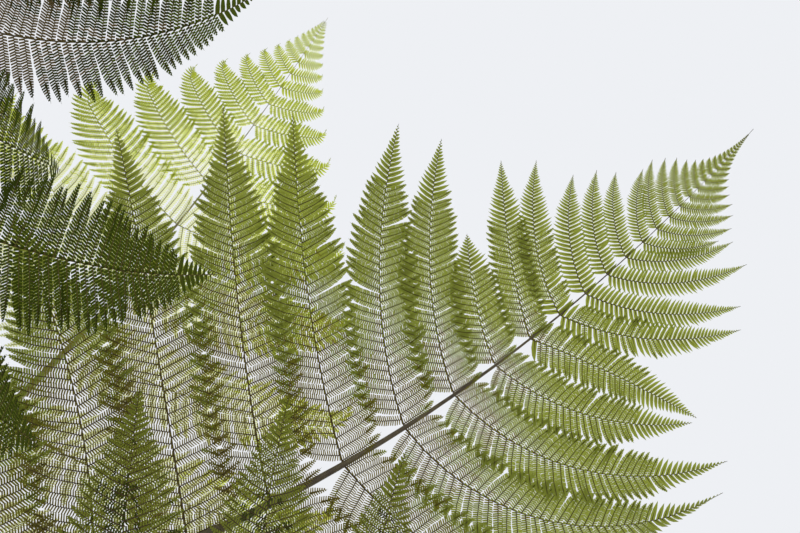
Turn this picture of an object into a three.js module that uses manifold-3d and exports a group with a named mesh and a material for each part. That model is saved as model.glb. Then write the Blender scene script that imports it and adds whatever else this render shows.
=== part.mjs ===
// A rooted tree fern: one slender trunk that flares at its foot, and a crown of arching fronds.
// Lengths are in millimetres and angles in degrees. +Z is up, and the origin is the trunk's flat foot.
import * as THREE from "three";
import { mergeVertices } from "three/addons/utils/BufferGeometryUtils.js";
import Module from "manifold-3d";

const wasm = await Module();
wasm.setup();

// Trunk
const CROWN = new THREE.Vector3(60, -40, 2400);
const LEAN_POWER = 1.6;
const TRUNK_SIDES = 14;
const TRUNK_PROFILE = [
  { height: 0, radius: 150 },
  { height: 60, radius: 124 },
  { height: 160, radius: 101 },
  { height: 340, radius: 86 },
  { height: 640, radius: 77 },
  { height: 1040, radius: 72 },
  { height: 1440, radius: 69 },
  { height: 1840, radius: 69 },
  { height: 2120, radius: 74 },
  { height: 2270, radius: 82 },
  { height: 2370, radius: 80 },
  { height: 2430, radius: 62 },
  { height: 2465, radius: 34 },
  { height: 2478, radius: 10 },
];
const FLARE_LOBES = 5;
const FLARE_DEPTH = 0.13;
const FLARE_HEIGHT = 260;
const WELD = 1e-3;

// Fronds: the midrib
const RIB_STEPS = 48;
const STIPE_START = 45;
const RIB_TIP_RADIUS = 2.5;
const RIB_RADIUS_PER_METRE = 4.6;
const RIB_POINT = 18;
const STALK_STEP = 110;
const SOCKET_REACH = 385;
const JOINT_GAP = 0.4;

// Fronds: the leaflets along the midrib, placed by their distance from the frond's tip
const FIRST_DISTANCE = 339;
const SPACING_RATIO = 1.147;
const SPACING_WIDEST = 165;
const FARTHEST_POWER = 14;
const NEAREST_POWER = -11;
const SPARSE_BELOW = 300;
const TIP_BARE = 100;
const STIPE_BARE = 330;
const LEAFLET_LONGEST = 777;
const LEAFLET_FULL_AT = 1488;
const LEAFLET_TAPER_FROM = 1560;
const LEAFLET_TAPER = 0.6;
const LEAFLET_ANGLE_PER_METRE = 14;
const LEAFLET_STEPS = 12;
const HOOK_FROM = 0.8;
const LEAFLET_FILL = 0.37;
const LEAFLET_FILL_SPARSE = 0.68;
const LEAFLET_ROOT = 0.42;
const LEAFLET_THICKNESS_SHARE = 1 / 92;
const LEAFLET_LEAST_THICKNESS = 3;
const SHORTER = [1, 0.86, 0.72, 0.58, 0.44];
const CLEARANCE = 5;

// The steps along a leaflet where its blade has a section, and the blade's share of full width there
const LEAFLET_SECTIONS = [
  { step: 4, width: 1 },
  { step: 8, width: 0.7 },
];

// Corners in the order that goes round a midrib, and round a leaflet on either hand of it
const RIB_CORNERS = [[1, 1], [-1, 1], [-1, -1], [1, -1]];
const LEFT_CORNERS = [[-1, -1], [-1, 1], [1, 1], [1, -1]];
const RIGHT_CORNERS = [[-1, 1], [-1, -1], [1, -1], [1, 1]];
const LEFT_WALL = 3;
const RIGHT_WALL = 1;

// Each tier's height from the crown's middle, its slopes and its length
const TIERS = {
  low: { height: -130, rise: 36, bend: 88, length: 2150 },
  mid: { height: -70, rise: 58, bend: 94, length: 2260 },
  high: { height: -10, rise: 74, bend: 96, length: 2200 },
};
const USUAL = {
  sweep: 0, roll: 0, droop: 42, curl: 36, angle: 80, skew: 0, hook: 0, twist: 0, phase: 0,
  ratio: SPACING_RATIO, widest: SPACING_WIDEST,
};

// The first four are the fronds that the photograph shows, and the rest finish the crown all round.
const FRONDS = [
  { name: "frond_mid_1", tier: "mid", azimuth: -44.8, sweep: 3.6, rise: 64.4, bend: 96, roll: 20.6,
    length: 2291, angle: 77, curl: 38.8, phase: 0 },
  { name: "frond_low_1", tier: "low", azimuth: -94.7, sweep: 7.9, rise: 24.2, bend: 90.9, roll: 8.5,
    length: 2250, angle: 107.8, curl: 11.3, droop: 36, twist: 24, phase: 0.84,
    widest: 250 },
  { name: "frond_mid_2", tier: "low", azimuth: 9.7, sweep: -19.3, rise: 51.6, bend: 74, roll: -30,
    length: 2200, angle: 99, curl: 24.7, droop: 32.5, phase: 0.16, widest: 250 },
  { name: "frond_high_1", tier: "high", azimuth: -103, sweep: 46, rise: 54, bend: 74, roll: 30,
    length: 2230, angle: 83, curl: 24, droop: 25, skew: 4, hook: 80, phase: -0.26,
    ratio: 1.25, widest: 250 },
  { name: "frond_mid_3", tier: "mid", azimuth: -126, sweep: -6 },
  { name: "frond_mid_4", tier: "mid", azimuth: 177, sweep: 8 },
  { name: "frond_mid_5", tier: "mid", azimuth: 121, sweep: -9 },
  { name: "frond_mid_6", tier: "mid", azimuth: 66, sweep: 7 },
  { name: "frond_low_2", tier: "low", azimuth: -152, sweep: 10 },
  { name: "frond_low_3", tier: "low", azimuth: 152, sweep: -8 },
  { name: "frond_low_4", tier: "low", azimuth: 102, sweep: 6 },
  { name: "frond_low_5", tier: "low", azimuth: 57, sweep: -8 },
  { name: "frond_high_2", tier: "high", azimuth: -155, sweep: -10 },
  { name: "frond_high_3", tier: "high", azimuth: 148, sweep: 9 },
  { name: "frond_high_4", tier: "high", azimuth: 92, sweep: -7 },
  { name: "frond_high_5", tier: "high", azimuth: 36, sweep: 8 },
];

// Leaflets that lean, curl or stop short of the rule, by their frond, hand and place from the tip
const OWN_WAYS = {
  frond_mid_1: [
    { hand: -1, place: 0, lean: -4, size: 0.9 },
    { hand: -1, place: 1, lean: 3, size: 0.9 },
    { hand: -1, place: 2, lean: 2, size: 0.93 },
    { hand: -1, place: 3, lean: 2, size: 0.9 },
    { hand: -1, place: 4, lean: 5 },
    { hand: -1, place: 5, lean: -6, curl: -24, size: 0.97 },
    { hand: -1, place: 6, curl: -18, size: 0.61 },
    { hand: -1, place: 7, lean: -2, size: 1.02 },
    { hand: -1, place: 8, lean: -2, curl: 5, size: 1.05 },
    { hand: -1, place: 9, lean: -4, curl: -15, size: 1.05 },
    { hand: -1, place: 10, lean: -6, curl: -15, size: 1.06 },
    { hand: -1, place: 11, lean: -7, curl: -25, size: 1.02 },
    { hand: -1, place: 12, lean: -14, curl: -50, size: 0.95 },
    { hand: 1, place: 0, lean: -2, size: 0.87 },
    { hand: 1, place: 1, lean: -11, size: 1.05 },
    { hand: 1, place: 2, lean: -8, size: 1.15 },
    { hand: 1, place: 3, lean: -3, curl: -5, size: 1.08 },
    { hand: 1, place: 4, lean: -5, curl: -5, size: 1.07 },
    { hand: 1, place: 5, lean: -13, curl: -58, size: 0.9 },
    { hand: 1, place: 6, lean: 4, size: 0.88 },
    { hand: 1, place: 7, lean: 7, curl: 18, size: 1.05 },
    { hand: 1, place: 8, lean: 8, curl: 32, size: 1.08 },
  ],
  frond_low_1: [
    { hand: 1, place: 8, lean: 2, curl: 6 },
    { hand: 1, place: 9, lean: 2, curl: -26, size: 0.63 },
    { hand: 1, place: 10, lean: -4, curl: -12 },
    { hand: 1, place: 11, lean: -8, curl: -19 },
  ],
  frond_mid_2: [
    { hand: -1, place: 8, size: 0.8 },
    { hand: -1, place: 9, lean: 7, curl: 14, size: 1.03 },
    { hand: -1, place: 10, lean: 2, curl: 5, size: 1.03 },
    { hand: -1, place: 11, lean: -2, curl: -4, size: 0.92 },
  ],
};
const RULED = { lean: 0, curl: 0, size: 1 };

const RISE_SPREAD = 12;
const BEND_SPREAD = 10;
const ROLL_SPREAD = 12;
const LENGTH_SPREAD = 160;

const barkLook = new THREE.MeshStandardMaterial({ color: 0x4a3524, roughness: 0.95, metalness: 0 });
const leafLook = new THREE.MeshStandardMaterial({ color: 0x4f6b22, roughness: 0.6, metalness: 0 });
const youngLook = new THREE.MeshStandardMaterial({ color: 0xa8bf35, roughness: 0.55, metalness: 0 });
const YOUNG_FROND = "frond_high_1";

const UP = new THREE.Vector3(0, 0, 1);
const NUMBER_STEP = 12.9898;
const USE_STEP = 78.233;
const WAVE_SIZE = 43758.5453;
const radians = THREE.MathUtils.degToRad;

// A fixed random number from 0 to 1 for a frond's number and a use of its own.
function chance(number, use) {
  const wave = Math.sin(number * NUMBER_STEP + use * USE_STEP) * WAVE_SIZE;
  return wave - Math.floor(wave);
}

function spread(number, use, width) {
  return (chance(number, use) - 0.5) * width;
}

// Fills in what a row leaves out from its tier, with a little of its own.
function completeFrond(row, number) {
  const tier = TIERS[row.tier];
  const own = {
    rise: tier.rise + spread(number, 1, RISE_SPREAD),
    bend: tier.bend + spread(number, 2, BEND_SPREAD),
    roll: spread(number, 3, ROLL_SPREAD),
    length: tier.length + spread(number, 4, LENGTH_SPREAD),
    phase: chance(number, 5),
  };
  const frond = { ...USUAL, ...own, ...row, height: tier.height };
  frond.rib = ribTrack(frond);
  return frond;
}

// The midrib's points and directions from the trunk to the tip: it rises, arches over and droops.
function ribTrack(frond) {
  const start = radians(frond.azimuth);
  const outward = new THREE.Vector3(Math.cos(start), Math.sin(start), 0);
  const point = CROWN.clone().addScaledVector(outward, STIPE_START).addScaledVector(UP, frond.height);
  const roll = radians(frond.roll);
  const track = [];
  for (let i = 0; i <= RIB_STEPS; i++) {
    const share = i / RIB_STEPS;
    const heading = radians(frond.azimuth + frond.sweep * share);
    const slope = radians(frond.rise - frond.bend * share);
    const along = new THREE.Vector3(
      Math.cos(slope) * Math.cos(heading),
      Math.cos(slope) * Math.sin(heading),
      Math.sin(slope),
    );
    const level = new THREE.Vector3(-Math.sin(heading), Math.cos(heading), 0);
    const above = along.clone().cross(level);
    const side = level.multiplyScalar(Math.cos(roll)).addScaledVector(above, Math.sin(roll));
    track.push({ point: point.clone(), along, side });
    point.addScaledVector(along, frond.length / RIB_STEPS);
  }
  return track;
}

// The midrib's place and directions at a distance from the frond's tip.
function ribAt(frond, distance) {
  const place = Math.min(1 - distance / frond.length, 1) * RIB_STEPS;
  const index = Math.min(Math.floor(place), RIB_STEPS - 1);
  const share = place - index;
  const [near, far] = [frond.rib[index], frond.rib[index + 1]];
  const point = near.point.clone().lerp(far.point, share);
  const along = near.along.clone().lerp(far.along, share).normalize();
  const side = near.side.clone().lerp(far.side, share).normalize();
  return { point, along, side, above: along.clone().cross(side) };
}

function ribRadius(distance) {
  return RIB_TIP_RADIUS + (RIB_RADIUS_PER_METRE * distance) / 1000;
}

// How a leaflet departs from its frond's rule.
function ownWay(frond, place, hand) {
  const own = (OWN_WAYS[frond.name] ?? []).find((way) => way.place === place.power && way.hand === hand);
  return { ...RULED, ...own };
}

// A leaflet grows longer away from the tip, and shorter again where the stalk is near.
function leafletLength(frond, { distance }) {
  const x = Math.min(distance / LEAFLET_FULL_AT, 1);
  const grown = 0.5 * x * x * (3 - 2 * x) + 0.5 * Math.sin((Math.PI * x) / 2);
  const taperRun = frond.length - STIPE_BARE - LEAFLET_TAPER_FROM;
  const y = THREE.MathUtils.clamp((distance - LEAFLET_TAPER_FROM) / taperRun, 0, 1);
  return LEAFLET_LONGEST * grown * (1 - LEAFLET_TAPER * y * y * (3 - 2 * y));
}

// A leaflet's middle line, with the directions along it, across it and square to its face.
function leafletLine(frond, place, hand, shorter) {
  const { distance } = place;
  const base = ribAt(frond, distance);
  const own = ownWay(frond, place, hand);
  const full = leafletLength(frond, place);
  const length = full * own.size * shorter;
  const outward = base.side.clone().multiplyScalar(hand);
  const angle = frond.angle + frond.skew * hand + LEAFLET_ANGLE_PER_METRE * (distance / 1000 - 1) + own.lean;
  const curl = frond.curl + own.curl;
  const twist = radians(frond.twist);
  const point = base.point.clone();
  const directionAt = (share) => {
    const hooked = Math.max(share - HOOK_FROM, 0) / (1 - HOOK_FROM);
    const turn = radians(angle - curl * share - frond.hook * hooked);
    const fall = radians(frond.droop * (full / LEAFLET_LONGEST) * share);
    return base.along
      .clone()
      .multiplyScalar(Math.cos(turn))
      .addScaledVector(outward, Math.sin(turn))
      .multiplyScalar(Math.cos(fall))
      .addScaledVector(UP, -Math.sin(fall))
      .normalize();
  };
  const line = [];
  for (let i = 0; i <= LEAFLET_STEPS; i++) {
    const along = directionAt(i / LEAFLET_STEPS);
    const level = base.along.clone().addScaledVector(along, -base.along.dot(along)).normalize();
    const above = level.clone().cross(along).multiplyScalar(hand);
    const across = level.clone().multiplyScalar(Math.cos(twist)).addScaledVector(above, -Math.sin(twist));
    const face = above.multiplyScalar(Math.cos(twist)).addScaledVector(level, Math.sin(twist));
    line.push({ point: point.clone(), along, across, face });
    point.addScaledVector(directionAt((i + 0.5) / LEAFLET_STEPS), length / LEAFLET_STEPS);
  }
  return line;
}

// The distance from the tip of a numbered pair: each gap is wider than the last, up to a widest one.
function distanceAt(frond, power) {
  const last = frond.widest / (frond.ratio - 1);
  const lastPower = Math.log(last / FIRST_DISTANCE) / Math.log(frond.ratio);
  const beyond = power + frond.phase - lastPower;
  return beyond > 0 ? last + frond.widest * beyond : FIRST_DISTANCE * frond.ratio ** (power + frond.phase);
}

// The distances from the tip at which a frond has a pair of leaflets, from the stalk outwards.
function leafletPlaces(frond) {
  const places = [];
  for (let power = FARTHEST_POWER; power >= NEAREST_POWER; power--) {
    const distance = distanceAt(frond, power);
    const onBlade = distance < frond.length - STIPE_BARE && distance > TIP_BARE;
    const sparse = frond.ratio === SPACING_RATIO && distance < SPARSE_BELOW;
    const skipped = sparse && power % 2 !== 0;
    const fill = sparse ? LEAFLET_FILL_SPARSE : LEAFLET_FILL;
    const halfWidth = fill * Math.min((frond.ratio - 1) * distance, frond.widest);
    if (onBlade && !skipped) places.push({ distance, power, halfWidth });
  }
  return places;
}

// A closed skin of corners, quads and triangles.
class Skin {
  constructor() {
    this.corners = [];
    this.faces = [];
  }

  corner(point) {
    this.corners.push(point.x, point.y, point.z);
    return this.corners.length / 3 - 1;
  }

  triangle(a, b, c) {
    this.faces.push(a, b, c);
  }

  quad(a, b, c, d) {
    this.triangle(a, b, c);
    this.triangle(a, c, d);
  }

  // Four corners round a middle, each a share of a reach in two directions.
  loop(shares, middle, first, firstReach, second, secondReach) {
    return shares.map(([a, b]) => {
      const corner = middle.clone().addScaledVector(first, a * firstReach);
      return this.corner(corner.addScaledVector(second, b * secondReach));
    });
  }

  // Joins two loops with a tube of quads.
  sleeve(from, to) {
    from.forEach((corner, i) => {
      const next = (i + 1) % from.length;
      this.quad(corner, from[next], to[next], to[i]);
    });
  }

  // Closes a loop with a point.
  point(loop, tip) {
    loop.forEach((corner, i) => this.triangle(corner, loop[(i + 1) % loop.length], tip));
  }

  geometry() {
    const geometry = new THREE.BufferGeometry();
    geometry.setAttribute("position", new THREE.Float32BufferAttribute(this.corners, 3));
    geometry.setIndex(this.faces);
    return geometry;
  }
}

function solidOf(geometry) {
  return new wasm.Manifold(
    new wasm.Mesh({
      numProp: 3,
      vertProperties: new Float32Array(geometry.getAttribute("position").array),
      triVerts: new Uint32Array(geometry.index.array),
    }),
  );
}

function geometryOf(solid) {
  const made = solid.getMesh();
  const geometry = new THREE.BufferGeometry();
  geometry.setAttribute("position", new THREE.BufferAttribute(made.vertProperties, 3));
  geometry.setIndex(new THREE.BufferAttribute(made.triVerts, 1));
  return geometry;
}

// The midrib's four corners at a distance from the tip, moved back along it by a little where asked.
function ribLoop(skin, frond, distance, grow = 0, back = 0) {
  const { point, along, side, above } = ribAt(frond, distance);
  const radius = ribRadius(distance) + grow;
  point.addScaledVector(along, -back);
  return skin.loop(RIB_CORNERS, point, side, radius, above, radius);
}

// A bare run of midrib from a closed end as far as a distance from the tip, and its last loop.
function bareRun(skin, frond, from, to, grow = 0, back = 0) {
  let loop = ribLoop(skin, frond, from, grow, back);
  skin.quad(loop[0], loop[3], loop[2], loop[1]);
  for (let distance = from - STALK_STEP; distance > to; distance -= STALK_STEP) {
    const next = ribLoop(skin, frond, distance, grow);
    skin.sleeve(loop, next);
    loop = next;
  }
  return loop;
}

// A leaflet's blade, grown out of a loop of four corners to its pointed tip.
function growLeaflet(skin, root, frond, place, hand, shorter, grow = 0) {
  const line = leafletLine(frond, place, hand, shorter);
  const length = leafletLength(frond, place) * ownWay(frond, place, hand).size * shorter;
  const half = Math.max(length * LEAFLET_THICKNESS_SHARE, LEAFLET_LEAST_THICKNESS) / 2 + grow;
  const corners = hand > 0 ? LEFT_CORNERS : RIGHT_CORNERS;
  let loop = root;
  for (const { step, width } of LEAFLET_SECTIONS) {
    const { point, across, face } = line[step];
    const reach = place.halfWidth * width + grow;
    const next = skin.loop(corners, point, across, reach, face, half);
    skin.sleeve(loop, next);
    loop = next;
  }
  const last = line[LEAFLET_STEPS];
  skin.point(loop, skin.corner(last.point.clone().addScaledVector(last.along, grow)));
}

// A stretch of frond between two distances from its tip, with the leaflets that grow from it.
function frondStretch(frond, from, to, places, lengths) {
  const skin = new Skin();
  let loop = bareRun(skin, frond, from, places[0].distance + 2 * places[0].halfWidth);
  for (const place of places) {
    const root = place.halfWidth * LEAFLET_ROOT;
    const before = ribLoop(skin, frond, place.distance + root);
    const after = ribLoop(skin, frond, place.distance - root);
    skin.sleeve(loop, before);
    before.forEach((corner, i) => {
      const next = (i + 1) % before.length;
      const wall = [corner, before[next], after[next], after[i]];
      const hand = (i === LEFT_WALL) - (i === RIGHT_WALL);
      const shorter = hand === 0 ? 0 : lengths.get(place.distance)[hand];
      if (shorter) growLeaflet(skin, wall, frond, place, hand, shorter);
      else skin.quad(...wall);
    });
    loop = after;
  }
  if (to > 0) {
    const end = ribLoop(skin, frond, to);
    skin.sleeve(loop, end);
    skin.quad(...end);
  } else {
    const end = ribLoop(skin, frond, RIB_POINT);
    skin.sleeve(loop, end);
    skin.point(end, skin.corner(ribAt(frond, 0).point));
  }
  return skin.geometry();
}

// A plain length of midrib, grown all round by a clearance.
function bareRib(frond, to, grow) {
  const skin = new Skin();
  skin.quad(...bareRun(skin, frond, frond.length, to, grow, grow));
  return solidOf(skin.geometry());
}

// A leaflet alone, a little thick, to try whether its place is free.
function trialLeaflet(frond, place, hand, shorter) {
  const skin = new Skin();
  const { point, along, side, above } = ribAt(frond, place.distance);
  const root = place.halfWidth * LEAFLET_ROOT;
  const corners = hand > 0 ? LEFT_CORNERS : RIGHT_CORNERS;
  point.addScaledVector(side, hand * ribRadius(place.distance));
  const loop = skin.loop(corners, point, along, root, above, CLEARANCE);
  skin.quad(loop[3], loop[2], loop[1], loop[0]);
  growLeaflet(skin, loop, frond, place, hand, shorter, CLEARANCE);
  return solidOf(skin.geometry());
}

// Everything that a later leaflet has to stay clear of.
class Occupied {
  constructor() {
    this.items = [];
  }

  add(owner, solid) {
    const { min, max } = solid.boundingBox();
    this.items.push({ owner, solid, min, max });
  }

  blocks(owner, solid) {
    const { min, max } = solid.boundingBox();
    const near = (item) => min.every((low, i) => low < item.max[i] && item.min[i] < max[i]);
    const others = this.items.filter((item) => item.owner !== owner && near(item));
    return others.some((item) => !solid.intersect(item.solid).isEmpty());
  }
}

// Chooses each leaflet's share of its full length: it is shortened, or left out, where another frond is near.
function leafletLengths(frond, occupied) {
  const lengths = new Map();
  for (const place of leafletPlaces(frond)) {
    const pair = {};
    for (const hand of [1, -1]) {
      pair[hand] = 0;
      for (const shorter of SHORTER) {
        const trial = trialLeaflet(frond, place, hand, shorter);
        if (!occupied.blocks(frond.name, trial)) {
          pair[hand] = shorter;
          occupied.add(frond.name, trial);
          break;
        }
      }
    }
    lengths.set(place.distance, pair);
  }
  return lengths;
}

// Each frond is two nodes, parted where it arches over.
function frondMeshes(frond, lengths) {
  const places = leafletPlaces(frond);
  const middle = places.findIndex((place) => place.distance < frond.length / 2);
  const parting = Math.sqrt(places[middle - 1].distance * places[middle].distance);
  const look = frond.name === YOUNG_FROND ? youngLook : leafLook;
  const halves = [
    ["inner", frond.length, parting + JOINT_GAP / 2, places.slice(0, middle)],
    ["outer", parting - JOINT_GAP / 2, 0, places.slice(middle)],
  ];
  return halves.map(([half, from, to, kept]) => {
    const mesh = new THREE.Mesh(frondStretch(frond, from, to, kept, lengths), look);
    mesh.name = `${frond.name}_${half}`;
    return mesh;
  });
}

// The trunk's middle at a height: it leans a little, and straightens as it rises.
function trunkMiddle(height) {
  const share = Math.pow(Math.max(height, 0) / CROWN.z, LEAN_POWER);
  return new THREE.Vector3(CROWN.x * share, CROWN.y * share, height);
}

function trunkGeometry() {
  const levels = TRUNK_PROFILE.length - 1;
  const geometry = new THREE.CylinderGeometry(1, 1, 1, TRUNK_SIDES, levels);
  geometry.deleteAttribute("normal");
  geometry.deleteAttribute("uv");
  const place = geometry.getAttribute("position");
  for (let i = 0; i < place.count; i++) {
    const { height, radius } = TRUNK_PROFILE[Math.round((place.getY(i) + 0.5) * levels)];
    const turn = Math.atan2(place.getX(i), place.getZ(i));
    const flare = Math.max(0, 1 - height / FLARE_HEIGHT);
    const lobes = 1 + FLARE_DEPTH * flare * Math.cos(FLARE_LOBES * turn);
    const reach = Math.hypot(place.getX(i), place.getZ(i)) * radius * lobes;
    const middle = trunkMiddle(height);
    place.setXYZ(i, middle.x + reach * Math.sin(turn), middle.y - reach * Math.cos(turn), height);
  }
  return mergeVertices(geometry, WELD);
}

// The trunk with a close socket for each stalk.
function makeTrunk(fronds) {
  let trunk = solidOf(trunkGeometry());
  for (const frond of fronds) {
    trunk = trunk.subtract(bareRib(frond, frond.length - SOCKET_REACH, JOINT_GAP));
  }
  const mesh = new THREE.Mesh(geometryOf(trunk), barkLook);
  mesh.name = "trunk";
  return mesh;
}

const fronds = FRONDS.map(completeFrond);
const occupied = new Occupied();
occupied.add("trunk", solidOf(trunkGeometry()));
for (const frond of fronds) occupied.add(frond.name, bareRib(frond, RIB_POINT, CLEARANCE));

const fern = new THREE.Group();
fern.add(makeTrunk(fronds));
for (const frond of fronds) fern.add(...frondMeshes(frond, leafletLengths(frond, occupied)));

export default fern;
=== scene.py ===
import math

import bpy
import numpy as np
from mathutils import Matrix, Vector


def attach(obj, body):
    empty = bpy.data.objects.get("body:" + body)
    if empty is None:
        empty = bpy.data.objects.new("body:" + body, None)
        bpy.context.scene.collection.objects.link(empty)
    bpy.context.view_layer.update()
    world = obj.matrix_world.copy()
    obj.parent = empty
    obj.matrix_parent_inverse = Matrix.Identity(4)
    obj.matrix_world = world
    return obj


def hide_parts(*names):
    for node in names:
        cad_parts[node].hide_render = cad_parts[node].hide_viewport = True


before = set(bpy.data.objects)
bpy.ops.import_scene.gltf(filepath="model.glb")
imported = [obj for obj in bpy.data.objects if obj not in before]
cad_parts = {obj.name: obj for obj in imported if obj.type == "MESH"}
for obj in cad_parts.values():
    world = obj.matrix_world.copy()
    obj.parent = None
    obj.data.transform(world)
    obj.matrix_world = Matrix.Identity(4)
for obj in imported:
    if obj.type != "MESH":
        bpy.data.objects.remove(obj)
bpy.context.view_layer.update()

# Lengths are in metres and angles in degrees. +Z is up, and the origin is the trunk's flat foot.

# Halfway along a step, a blade or a range
MIDDLE = 0.5

# Camera: it stands under the crown and looks up through the fronds
CAMERA_PLACE = Vector((1.111, -0.130, 1.600))
CAMERA_AIM = Vector((-0.255, -0.673, 1.0))
CAMERA_RIGHT = Vector((1, 0, 0))
CAMERA_LENS = 35.0
CAMERA_SENSOR = 36.0
CAMERA_NEAREST = 0.01

# Studio: a pale sky, a wide pale floor and one large soft lamp
SKY_COLOUR = (0.855, 0.872, 0.905)
FLOOR_COLOUR = (0.66, 0.66, 0.645)
FLOOR_ROUGHNESS = 0.9
FLOOR_REACH = 40.0
LAMP_PLACE = Vector((6.0, -7.0, 11.0))
LAMP_AIM = Vector((-6.0, 7.0, -9.0))
LAMP_SIZE = 10
LAMP_POWER = 1650

# Trunk: its height and radius along its profile, and the lobes of its flared foot
CROWN = np.array((0.060, -0.040, 2.400))
LEAN_POWER = 1.6
TRUNK_PROFILE = (
    (0.0, 0.150), (0.06, 0.124), (0.16, 0.101), (0.34, 0.086), (0.64, 0.077), (1.04, 0.072), (1.44, 0.069),
    (1.84, 0.069), (2.12, 0.074), (2.27, 0.082), (2.37, 0.080), (2.43, 0.062), (2.465, 0.034),
    (2.478, 0.010),
)
FLARE_LOBES = 5
FLARE_DEPTH = 0.13
FLARE_HEIGHT = 0.26
TRUNK_RINGS = 260
TRUNK_SIDES = 96
TRUNK_TIP_RADIUS = 0.004

# Bark: broken ridges and finer fibres. Waves around are counted by the turn, waves up are radians by the
# metre, and a winding is how far the waves swing, in radians
RIDGE_DEPTH = 0.0022
RIDGES_AROUND = 17
RIDGE_WINDING = 2.2
RIDGE_WAVES_UP = 9
BREAKS_AROUND = 7
BREAKS_UP = 5
FIBRE_DEPTH = 0.0016
FIBRES_AROUND = 31
FIBRE_WINDING = 5
FIBRE_WAVES_UP = 6.3
FIBRE_WAVES_AROUND = 2
RIDGES_AT_FOOT = 1.6

# Bark: the worn leaf scars above the foot, which climb the trunk in a spiral
SCAR_LOWEST = 0.30
SCAR_HIGHEST = 2.36
SCAR_RISE = 0.0082
SCAR_TURN = 137.5
SCAR_HALF_WIDTH = 0.017
SCAR_HALF_HEIGHT = 0.026
SCAR_TRUNK_RADIUS = 0.072
SCAR_DEPTH = 0.0045
GROOVE_AT = 1.15
GROOVE_WIDTH = 0.25
GROOVE_DEPTH = 0.5
SCARS_FROM = 0.25
SCARS_FADE_IN = 0.5

# Fronds: the midrib
RIB_STEPS = 48
STIPE_START = 0.045
STALK_TIP_RADIUS = 0.0005
STALK_RADIUS_GROWS = 0.0042
STALK_RADIUS_POWER = 1.9
STALK_WIDEST = 0.0125
STALK_SIDES = 8
STALK_RINGS = 30
STALK_RINGS_UNTIL = 0.60
STALK_TIP_RINGS = 24
STALK_TIP_RINGS_FROM = 0.58

# Fronds: the leaflets along the midrib, placed by their distance from the frond's tip
FIRST_DISTANCE = 0.339
SPACING_RATIO = 1.147
SPACING_WIDEST = 0.165
FARTHEST_POWER = 14
NEAREST_POWER = -22
LEAST_DISTANCE = 0.016
SPARSE_BELOW = 0.300
TIP_BARE = 0.100
STIPE_BARE = 0.330
LEAFLET_LONGEST = 0.777
LEAFLET_FULL_AT = 1.488
LEAFLET_TAPER_FROM = 1.560
LEAFLET_TAPER = 0.6
LEAFLET_ANGLE_PER_METRE = 14
LEAFLET_STEPS = 12
HOOK_FROM = 0.8
SHORTER = (1, 0.86, 0.72, 0.58, 0.44)
TIP_MATCH = 0.003

TIERS = {
    "low": {"height": -0.130, "rise": 36, "bend": 88, "length": 2.150},
    "mid": {"height": -0.070, "rise": 58, "bend": 94, "length": 2.260},
    "high": {"height": -0.010, "rise": 74, "bend": 96, "length": 2.200},
}
USUAL = {"sweep": 0, "roll": 0, "droop": 42, "curl": 36, "angle": 80, "skew": 0, "hook": 0, "twist": 0,
         "ratio": SPACING_RATIO, "widest": SPACING_WIDEST}

# The first four are the fronds that the photograph shows, and the rest finish the crown all round.
FRONDS = (
    {"name": "frond_mid_1", "tier": "mid", "azimuth": -44.8, "sweep": 3.6, "rise": 64.4, "bend": 96,
     "roll": 20.6, "length": 2.291, "angle": 77, "curl": 38.8, "phase": 0, "cut": "nearest"},
    {"name": "frond_low_1", "tier": "low", "azimuth": -94.7, "sweep": 7.9, "rise": 24.2, "bend": 90.9,
     "roll": 8.5, "length": 2.250, "angle": 107.8, "curl": 11.3, "droop": 36, "twist": 24, "phase": 0.84,
     "widest": 0.250, "cut": "dark"},
    {"name": "frond_mid_2", "tier": "low", "azimuth": 9.7, "sweep": -19.3, "rise": 51.6, "bend": 74,
     "roll": -30, "length": 2.200, "angle": 99, "curl": 24.7, "droop": 32.5, "phase": 0.16,
     "widest": 0.250, "cut": "near"},
    {"name": "frond_high_1", "tier": "high", "azimuth": -103, "sweep": 46, "rise": 54, "bend": 74,
     "roll": 30, "length": 2.230, "angle": 83, "curl": 24, "droop": 25, "skew": 4, "hook": 80,
     "phase": -0.26, "ratio": 1.25, "widest": 0.250, "cut": "young"},
    {"name": "frond_mid_3", "tier": "mid", "azimuth": -126, "sweep": -6},
    {"name": "frond_mid_4", "tier": "mid", "azimuth": 177, "sweep": 8},
    {"name": "frond_mid_5", "tier": "mid", "azimuth": 121, "sweep": -9},
    {"name": "frond_mid_6", "tier": "mid", "azimuth": 66, "sweep": 7},
    {"name": "frond_low_2", "tier": "low", "azimuth": -152, "sweep": 10},
    {"name": "frond_low_3", "tier": "low", "azimuth": 152, "sweep": -8},
    {"name": "frond_low_4", "tier": "low", "azimuth": 102, "sweep": 6},
    {"name": "frond_low_5", "tier": "low", "azimuth": 57, "sweep": -8},
    {"name": "frond_high_2", "tier": "high", "azimuth": -155, "sweep": -10},
    {"name": "frond_high_3", "tier": "high", "azimuth": 148, "sweep": 9},
    {"name": "frond_high_4", "tier": "high", "azimuth": 92, "sweep": -7},
    {"name": "frond_high_5", "tier": "high", "azimuth": 36, "sweep": 8},
)

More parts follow.
